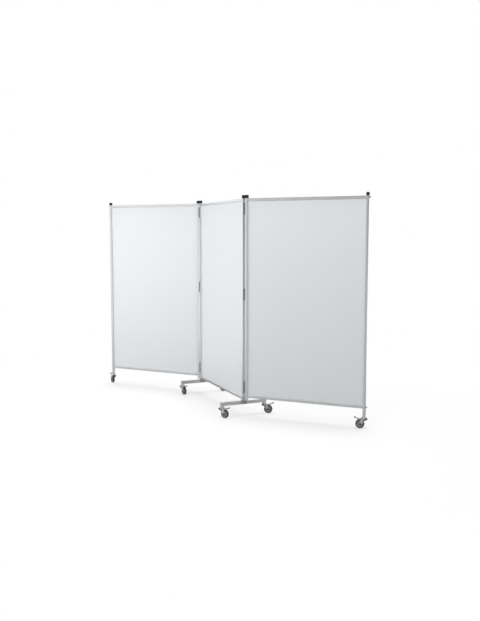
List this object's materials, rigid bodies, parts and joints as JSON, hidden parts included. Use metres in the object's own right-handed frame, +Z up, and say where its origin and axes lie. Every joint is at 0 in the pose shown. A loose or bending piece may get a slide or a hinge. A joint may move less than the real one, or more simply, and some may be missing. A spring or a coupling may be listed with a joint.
{
  "type": "folding privacy screen on casters",
  "caption": "Folding ward privacy screen: framed pale panels hinged in a zigzag, on cross feet and braked swivel casters",
  "frame": {"origin": "on the floor, under the centre of the whole screen's box as it stands in the picture", "axes": "+X runs along the middle panel from the left joint to the right joint, +Y through it towards the side the right wing stands on, +Z up"},
  "size_m": [2.6058, 1.3976, 1.8],
  "materials": {
    "frame_metal": "satin, fine brushing along each tube",
    "white_sheet": "smooth, low gloss",
    "black_plastic": "moulded, matt",
    "caster_steel": "zinc plated, bright",
    "hinge_steel": "plain, satin",
    "grey_tyre": "dark grey rubber, smooth tread"
  },
  "bodies": {
    "middle": {"middle_left_post": "frame_metal", "middle_left_cap": "black_plastic", "middle_right_post": "frame_metal", "middle_right_cap": "black_plastic", "middle_bottom_rail": "frame_metal", "middle_top_rail": "frame_metal", "middle_infill_sheet": "white_sheet", "middle_right_bottom_hinge_leaf": "hinge_steel", "middle_right_middle_hinge_leaf": "hinge_steel", "middle_right_top_hinge_leaf": "hinge_steel", "middle_left_bottom_hinge_leaf": "hinge_steel", "middle_left_middle_hinge_leaf": "hinge_steel", "middle_left_top_hinge_leaf": "hinge_steel", "right_foot_bar": "frame_metal", "right_foot_front_caster_head": "caster_steel", "right_foot_rear_caster_head": "caster_steel", "left_foot_bar": "frame_metal", "left_foot_front_caster_head": "caster_steel", "left_foot_rear_caster_head": "caster_steel"},
    "left_wing": {"left_wing_caster_head": "caster_steel", "left_wing_left_post": "frame_metal", "left_wing_left_cap": "black_plastic", "left_wing_right_post": "frame_metal", "left_wing_right_cap": "black_plastic", "left_wing_bottom_rail": "frame_metal", "left_wing_top_rail": "frame_metal", "left_wing_infill_sheet": "white_sheet", "left_wing_bottom_hinge_leaf": "hinge_steel", "left_wing_middle_hinge_leaf": "hinge_steel", "left_wing_top_hinge_leaf": "hinge_steel"},
    "right_wing": {"right_wing_caster_head": "caster_steel", "right_wing_left_post": "frame_metal", "right_wing_left_cap": "black_plastic", "right_wing_right_post": "frame_metal", "right_wing_right_cap": "black_plastic", "right_wing_bottom_rail": "frame_metal", "right_wing_top_rail": "frame_metal", "right_wing_infill_sheet": "white_sheet", "right_wing_bottom_hinge_leaf": "hinge_steel", "right_wing_middle_hinge_leaf": "hinge_steel", "right_wing_top_hinge_leaf": "hinge_steel"},
    "right_foot_front_caster_fork": {"right_foot_front_caster_fork": "caster_steel"},
    "right_foot_front_caster_wheel": {"right_foot_front_caster_wheel": "grey_tyre"},
    "right_foot_front_caster_pedal": {"right_foot_front_caster_pedal": "caster_steel"},
    "right_foot_rear_caster_fork": {"right_foot_rear_caster_fork": "caster_steel"},
    "right_foot_rear_caster_wheel": {"right_foot_rear_caster_wheel": "grey_tyre"},
    "right_foot_rear_caster_pedal": {"right_foot_rear_caster_pedal": "caster_steel"},
    "left_foot_front_caster_fork": {"left_foot_front_caster_fork": "caster_steel"},
    "left_foot_front_caster_wheel": {"left_foot_front_caster_wheel": "grey_tyre"},
    "left_foot_front_caster_pedal": {"left_foot_front_caster_pedal": "caster_steel"},
    "left_foot_rear_caster_fork": {"left_foot_rear_caster_fork": "caster_steel"},
    "left_foot_rear_caster_wheel": {"left_foot_rear_caster_wheel": "grey_tyre"},
    "left_foot_rear_caster_pedal": {"left_foot_rear_caster_pedal": "caster_steel"},
    "right_wing_caster_fork": {"right_wing_caster_fork": "caster_steel"},
    "right_wing_caster_wheel": {"right_wing_caster_wheel": "grey_tyre"},
    "right_wing_caster_pedal": {"right_wing_caster_pedal": "caster_steel"},
    "left_wing_caster_fork": {"left_wing_caster_fork": "caster_steel"},
    "left_wing_caster_wheel": {"left_wing_caster_wheel": "grey_tyre"},
    "left_wing_caster_pedal": {"left_wing_caster_pedal": "caster_steel"}
  },
  "joints": [
    {"name": "right_wing_fold", "type": "hinge", "parent": "middle", "child": "right_wing", "pos_m": [0.54287, -0.00176, 1.00035], "axis": [0, 0, 1], "range_deg": [-48, 115]},
    {"name": "left_wing_fold", "type": "hinge", "parent": "middle", "child": "left_wing", "pos_m": [-0.46514, -0.03176, 1.00035], "axis": [0, 0, 1], "range_deg": [-46, 117]},
    {"name": "right_foot_front_caster_swivel", "type": "hinge", "parent": "middle", "child": "right_foot_front_caster_fork", "pos_m": [0.52787, -0.20876, 0.0835], "axis": [0, 0, 1], "continuous": true},
    {"name": "right_foot_front_caster_roll", "type": "hinge", "parent": "right_foot_front_caster_fork", "child": "right_foot_front_caster_wheel", "pos_m": [0.5562, -0.19389, 0.035], "axis": [-0.4648, 0.8854, 0], "continuous": true},
    {"name": "right_foot_front_caster_brake", "type": "hinge", "parent": "right_foot_front_caster_fork", "child": "right_foot_front_caster_pedal", "pos_m": [0.52875, -0.2083, 0.064], "axis": [-0.4648, 0.8854, 0], "range_deg": [0, 7]},
    {"name": "right_foot_rear_caster_swivel", "type": "hinge", "parent": "middle", "child": "right_foot_rear_caster_fork", "pos_m": [0.52787, 0.17524, 0.0835], "axis": [0, 0, 1], "continuous": true},
    {"name": "right_foot_rear_caster_roll", "type": "hinge", "parent": "right_foot_rear_caster_fork", "child": "right_foot_rear_caster_wheel", "pos_m": [0.54289, 0.20349, 0.035], "axis": [-0.8829, 0.4695, 0], "continuous": true},
    {"name": "right_foot_rear_caster_brake", "type": "hinge", "parent": "right_foot_rear_caster_fork", "child": "right_foot_rear_caster_pedal", "pos_m": [0.52833, 0.17612, 0.064], "axis": [-0.8829, 0.4695, 0], "range_deg": [0, 7]},
    {"name": "left_foot_front_caster_swivel", "type": "hinge", "parent": "middle", "child": "left_foot_front_caster_fork", "pos_m": [-0.45014, -0.20876, 0.0835], "axis": [0, 0, 1], "continuous": true},
    {"name": "left_foot_front_caster_roll", "type": "hinge", "parent": "left_foot_front_caster_fork", "child": "left_foot_front_caster_wheel", "pos_m": [-0.41835, -0.20508, 0.035], "axis": [-0.1149, 0.9934, 0], "continuous": true},
    {"name": "left_foot_front_caster_brake", "type": "hinge", "parent": "left_foot_front_caster_fork", "child": "left_foot_front_caster_pedal", "pos_m": [-0.44914, -0.20864, 0.064], "axis": [-0.1149, 0.9934, 0], "range_deg": [0, 7]},
    {"name": "left_foot_rear_caster_swivel", "type": "hinge", "parent": "middle", "child": "left_foot_rear_caster_fork", "pos_m": [-0.45014, 0.17524, 0.0835], "axis": [0, 0, 1], "continuous": true},
    {"name": "left_foot_rear_caster_roll", "type": "hinge", "parent": "left_foot_rear_caster_fork", "child": "left_foot_rear_caster_wheel", "pos_m": [-0.42116, 0.18881, 0.035], "axis": [-0.4242, 0.9056, 0], "continuous": true},
    {"name": "left_foot_rear_caster_brake", "type": "hinge", "parent": "left_foot_rear_caster_fork", "child": "left_foot_rear_caster_pedal", "pos_m": [-0.44923, 0.17566, 0.064], "axis": [-0.4242, 0.9056, 0], "range_deg": [0, 7]},
    {"name": "right_wing_caster_swivel", "type": "hinge", "parent": "right_wing", "child": "right_wing_caster_fork", "pos_m": [1.27583, 0.66834, 0.0835], "axis": [0, 0, 1], "continuous": true},
    {"name": "right_wing_caster_roll", "type": "hinge", "parent": "right_wing_caster_fork", "child": "right_wing_caster_wheel", "pos_m": [1.26302, 0.63902, 0.035], "axis": [0.9164, -0.4003, 0], "continuous": true},
    {"name": "right_wing_caster_brake", "type": "hinge", "parent": "right_wing_caster_fork", "child": "right_wing_caster_pedal", "pos_m": [1.27543, 0.66743, 0.064], "axis": [0.9164, -0.4003, 0], "range_deg": [0, 7]},
    {"name": "left_wing_caster_swivel", "type": "hinge", "parent": "left_wing", "child": "left_wing_caster_fork", "pos_m": [-1.22216, -0.67455, 0.0835], "axis": [0, 0, 1], "continuous": true},
    {"name": "left_wing_caster_roll", "type": "hinge", "parent": "left_wing_caster_fork", "child": "left_wing_caster_wheel", "pos_m": [-1.25396, -0.67812, 0.035], "axis": [0.1115, -0.9938, 0], "continuous": true},
    {"name": "left_wing_caster_brake", "type": "hinge", "parent": "left_wing_caster_fork", "child": "left_wing_caster_pedal", "pos_m": [-1.22316, -0.67466, 0.064], "axis": [0.1115, -0.9938, 0], "range_deg": [0, 7]}
  ]
}
